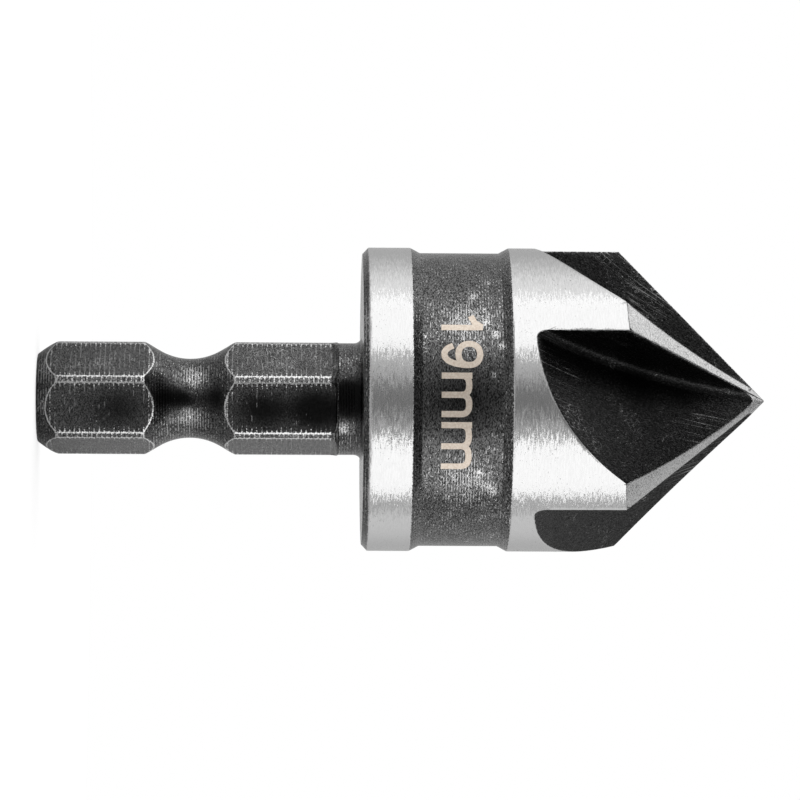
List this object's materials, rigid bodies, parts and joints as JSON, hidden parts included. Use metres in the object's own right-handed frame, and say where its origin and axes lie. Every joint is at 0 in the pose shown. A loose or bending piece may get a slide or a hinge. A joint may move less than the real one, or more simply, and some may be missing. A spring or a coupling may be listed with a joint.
{
  "type": "countersink bit",
  "caption": "Hex-shank countersink bit: quick-change shank with a ball groove, turned collar and waist, fluted conical head with relieved cutting edges; black finish with bright ground bands.",
  "frame": {"origin": "Middle of the flat end face of the shank, on the bit's axis; the bit stands on it.", "axes": "+Z along the bit's axis from the shank end to the tip; the flats of the hex face +Y and -Y."},
  "size_m": [0.019, 0.019, 0.0455],
  "materials": {
    "blackened_tool_steel": "Black oxide on the shank, neck, waist and flutes, with fine turning lines; bright ground steel on the two bands and the cone lands."
  },
  "bodies": {
    "root": {"countersink_bit": "blackened_tool_steel"}
  },
  "joints": []
}
